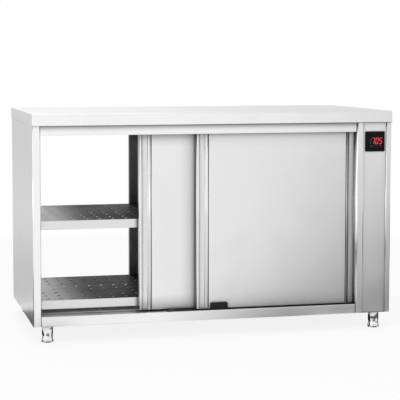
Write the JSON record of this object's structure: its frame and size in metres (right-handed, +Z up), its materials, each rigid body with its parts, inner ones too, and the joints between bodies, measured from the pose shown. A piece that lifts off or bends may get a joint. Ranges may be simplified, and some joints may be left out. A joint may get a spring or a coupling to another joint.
{
  "type": "plate warmer cabinet",
  "caption": "Stainless pass-through plate warmer cabinet: sliding doors on both long sides, perforated shelves, fan heater column with digital controller, folded worktop on round feet.",
  "frame": {"origin": "middle of the footprint, on the surface that the feet stand on", "axes": "+Z up, +X along the width towards the heater column, front faces -Y"},
  "size_m": [1.4, 0.7, 0.85],
  "materials": {
    "brushed_steel": "fine brushed stainless steel",
    "liner_steel": "plain rolled stainless sheet",
    "shelf_steel": "punched stainless sheet, bright folded edge",
    "zinc_sheet": "zinc coated sheet",
    "polished_steel": "polished stainless tube and turned foot",
    "mineral_wool": "matt mineral wool slab",
    "black_nylon": "moulded black nylon",
    "white_nylon": "moulded white nylon",
    "motor_paint": "dark motor enamel",
    "heater_steel": "heat-dulled tube",
    "case_plastic": "dark moulded case",
    "black_glass": "gloss black control glass with red figures",
    "terminal_plastic": "pale terminal block"
  },
  "bodies": {
    "cabinet": {"worktop": "brushed_steel", "worktop_stiffeners": "zinc_sheet", "left_side_panel": "brushed_steel", "left_side_liner": "liner_steel", "right_side_panel": "brushed_steel", "right_side_liner": "liner_steel", "insulation": "mineral_wool", "control_panel": "brushed_steel", "rear_service_panel": "brushed_steel", "front_top_rail": "brushed_steel", "rear_top_rail": "brushed_steel", "front_bottom_rail": "brushed_steel", "rear_bottom_rail": "brushed_steel", "front_post": "brushed_steel", "rear_post": "brushed_steel", "floor_panel": "liner_steel", "base_panel": "liner_steel", "ceiling_panel": "liner_steel", "front_track": "zinc_sheet", "rear_track": "zinc_sheet", "front_door_guide": "black_nylon", "rear_door_guide": "black_nylon", "upper_shelf": "shelf_steel", "lower_shelf": "shelf_steel", "shelf_uprights": "shelf_steel", "shelf_clips": "shelf_steel", "fan_motor": "motor_paint", "heating_ring": "heater_steel", "air_duct": "zinc_sheet", "controller_case": "case_plastic", "controller_glass": "black_glass", "terminal_block": "terminal_plastic", "cable_gland": "black_nylon", "leg_sockets": "polished_steel", "leg_nuts": "zinc_sheet"},
    "fan": {"fan_wheel": "zinc_sheet"},
    "foot_front_left": {"foot_front_left": "polished_steel"},
    "foot_front_right": {"foot_front_right": "polished_steel"},
    "foot_rear_left": {"foot_rear_left": "polished_steel"},
    "foot_rear_right": {"foot_rear_right": "polished_steel"},
    "front_left_door": {"front_left_door_skin": "brushed_steel", "front_left_door_liner": "liner_steel", "front_left_door_hangers": "zinc_sheet"},
    "front_left_roller_a": {"front_left_roller_a": "white_nylon"},
    "front_left_roller_b": {"front_left_roller_b": "white_nylon"},
    "front_right_door": {"front_right_door_skin": "brushed_steel", "front_right_door_liner": "liner_steel", "front_right_door_hangers": "zinc_sheet"},
    "front_right_roller_a": {"front_right_roller_a": "white_nylon"},
    "front_right_roller_b": {"front_right_roller_b": "white_nylon"},
    "rear_left_door": {"rear_left_door_skin": "brushed_steel", "rear_left_door_liner": "liner_steel", "rear_left_door_hangers": "zinc_sheet"},
    "rear_left_roller_a": {"rear_left_roller_a": "white_nylon"},
    "rear_left_roller_b": {"rear_left_roller_b": "white_nylon"},
    "rear_right_door": {"rear_right_door_skin": "brushed_steel", "rear_right_door_liner": "liner_steel", "rear_right_door_hangers": "zinc_sheet"},
    "rear_right_roller_a": {"rear_right_roller_a": "white_nylon"},
    "rear_right_roller_b": {"rear_right_roller_b": "white_nylon"}
  },
  "joints": [
    {"name": "front_left_door_slide", "type": "slide", "parent": "cabinet", "child": "front_left_door", "axis": [1, 0, 0], "range_m": [-0.387, 0.2165]},
    {"name": "front_left_roller_a_turn", "type": "hinge", "parent": "front_left_door", "child": "front_left_roller_a", "pos_m": [-0.203, -0.2993, 0.7916], "axis": [0, 1, 0], "continuous": true},
    {"name": "front_left_roller_b_turn", "type": "hinge", "parent": "front_left_door", "child": "front_left_roller_b", "pos_m": [0.2605, -0.2993, 0.7916], "axis": [0, 1, 0], "continuous": true},
    {"name": "front_right_door_slide", "type": "slide", "parent": "cabinet", "child": "front_right_door", "axis": [1, 0, 0], "range_m": [-0.6035, 0]},
    {"name": "front_right_roller_a_turn", "type": "hinge", "parent": "front_right_door", "child": "front_right_roller_a", "pos_m": [0.0135, -0.3233, 0.7916], "axis": [0, 1, 0], "continuous": true},
    {"name": "front_right_roller_b_turn", "type": "hinge", "parent": "front_right_door", "child": "front_right_roller_b", "pos_m": [0.477, -0.3233, 0.7916], "axis": [0, 1, 0], "continuous": true},
    {"name": "rear_left_door_slide", "type": "slide", "parent": "cabinet", "child": "rear_left_door", "axis": [1, 0, 0], "range_m": [-0.463, 0.1405]},
    {"name": "rear_left_roller_a_turn", "type": "hinge", "parent": "rear_left_door", "child": "rear_left_roller_a", "pos_m": [-0.127, 0.2993, 0.7916], "axis": [0, 1, 0], "continuous": true},
    {"name": "rear_left_roller_b_turn", "type": "hinge", "parent": "rear_left_door", "child": "rear_left_roller_b", "pos_m": [0.3365, 0.2993, 0.7916], "axis": [0, 1, 0], "continuous": true},
    {"name": "rear_right_door_slide", "type": "slide", "parent": "cabinet", "child": "rear_right_door", "axis": [1, 0, 0], "range_m": [-0.6035, 0]},
    {"name": "rear_right_roller_a_turn", "type": "hinge", "parent": "rear_right_door", "child": "rear_right_roller_a", "pos_m": [0.0135, 0.3233, 0.7916], "axis": [0, 1, 0], "continuous": true},
    {"name": "rear_right_roller_b_turn", "type": "hinge", "parent": "rear_right_door", "child": "rear_right_roller_b", "pos_m": [0.477, 0.3233, 0.7916], "axis": [0, 1, 0], "continuous": true},
    {"name": "fan_spin", "type": "hinge", "parent": "cabinet", "child": "fan", "pos_m": [0.601, 0, 0.585], "axis": [1, 0, 0], "continuous": true},
    {"name": "foot_front_left_screw", "type": "hinge", "parent": "cabinet", "child": "foot_front_left", "pos_m": [-0.644, -0.314, 0.01], "axis": [0, 0, 1], "continuous": true},
    {"name": "foot_front_right_screw", "type": "hinge", "parent": "cabinet", "child": "foot_front_right", "pos_m": [0.644, -0.314, 0.01], "axis": [0, 0, 1], "continuous": true},
    {"name": "foot_rear_left_screw", "type": "hinge", "parent": "cabinet", "child": "foot_rear_left", "pos_m": [-0.644, 0.314, 0.01], "axis": [0, 0, 1], "continuous": true},
    {"name": "foot_rear_right_screw", "type": "hinge", "parent": "cabinet", "child": "foot_rear_right", "pos_m": [0.644, 0.314, 0.01], "axis": [0, 0, 1], "continuous": true}
  ],
  "couplings": [
    {"joint": "front_left_roller_a_turn", "follows": "front_left_door_slide", "rad_per_m": 111.11},
    {"joint": "front_left_roller_b_turn", "follows": "front_left_door_slide", "rad_per_m": 111.11},
    {"joint": "front_right_roller_a_turn", "follows": "front_right_door_slide", "rad_per_m": 111.11},
    {"joint": "front_right_roller_b_turn", "follows": "front_right_door_slide", "rad_per_m": 111.11},
    {"joint": "rear_left_roller_a_turn", "follows": "rear_left_door_slide", "rad_per_m": 111.11},
    {"joint": "rear_left_roller_b_turn", "follows": "rear_left_door_slide", "rad_per_m": 111.11},
    {"joint": "rear_right_roller_a_turn", "follows": "rear_right_door_slide", "rad_per_m": 111.11},
    {"joint": "rear_right_roller_b_turn", "follows": "rear_right_door_slide", "rad_per_m": 111.11}
  ]
}
